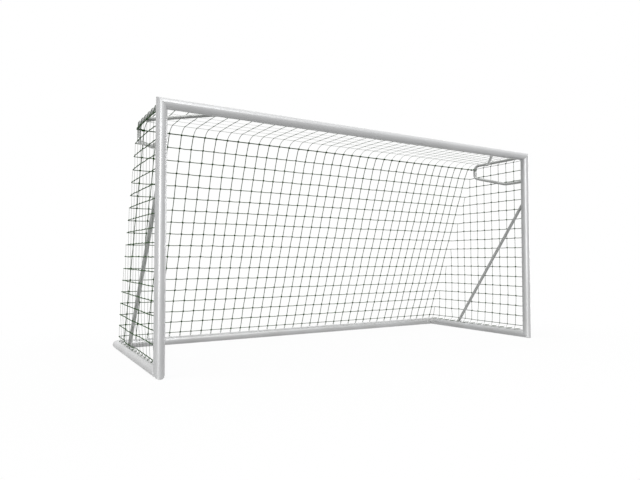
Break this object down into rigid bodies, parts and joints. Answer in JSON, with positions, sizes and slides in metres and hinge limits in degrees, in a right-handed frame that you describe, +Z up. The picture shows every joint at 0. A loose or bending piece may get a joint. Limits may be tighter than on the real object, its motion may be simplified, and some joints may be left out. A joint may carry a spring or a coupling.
{
  "type": "soccer goal",
  "caption": "Free-standing junior soccer goal: round white tubes mitred into a frame, bent net hoops, diagonal braces and a dark green square-mesh net.",
  "frame": {"origin": "on the ground, midway between the posts and midway between the front of the posts and the back of the rear bar", "axes": "+X along the crossbar towards the right post as seen from the field, +Y from the goal mouth to the back of the net, +Z up"},
  "size_m": [3.812, 1.5, 1.906],
  "materials": {
    "frame_coat": "white satin powder coat on aluminium tube",
    "hoop_coat": "white satin powder coat on thin aluminium tube",
    "connector": "cast aluminium, inside the tubes",
    "screw": "stainless button-head screws",
    "net_cord": "dark green knotted polyethylene cord",
    "rope": "dark green braided rope"
  },
  "bodies": {
    "root": {"left_post": "frame_coat", "right_post": "frame_coat", "crossbar": "frame_coat", "left_side_bar": "frame_coat", "right_side_bar": "frame_coat", "rear_bar": "frame_coat", "left_net_hoop": "hoop_coat", "right_net_hoop": "hoop_coat", "left_diagonal_brace": "hoop_coat", "right_diagonal_brace": "hoop_coat", "left_corner_tie": "hoop_coat", "right_corner_tie": "hoop_coat", "left_top_connector": "connector", "right_top_connector": "connector", "left_rear_connector": "connector", "right_rear_connector": "connector", "left_post_top_screw_1": "screw", "left_post_top_screw_2": "screw", "right_post_top_screw_1": "screw", "right_post_top_screw_2": "screw", "left_crossbar_top_screw_1": "screw", "left_crossbar_top_screw_2": "screw", "right_crossbar_top_screw_1": "screw", "right_crossbar_top_screw_2": "screw", "left_side_bar_rear_screw_1": "screw", "left_side_bar_rear_screw_2": "screw", "right_side_bar_rear_screw_1": "screw", "right_side_bar_rear_screw_2": "screw", "left_rear_bar_rear_screw_1": "screw", "left_rear_bar_rear_screw_2": "screw", "right_rear_bar_rear_screw_1": "screw", "right_rear_bar_rear_screw_2": "screw", "left_tie_crossbar_screw": "screw", "right_tie_crossbar_screw": "screw", "left_tie_hoop_screw": "screw", "right_tie_hoop_screw": "screw", "top_net": "net_cord", "back_net": "net_cord", "left_net": "net_cord", "right_net": "net_cord", "head_rope": "rope"}
  },
  "joints": []
}
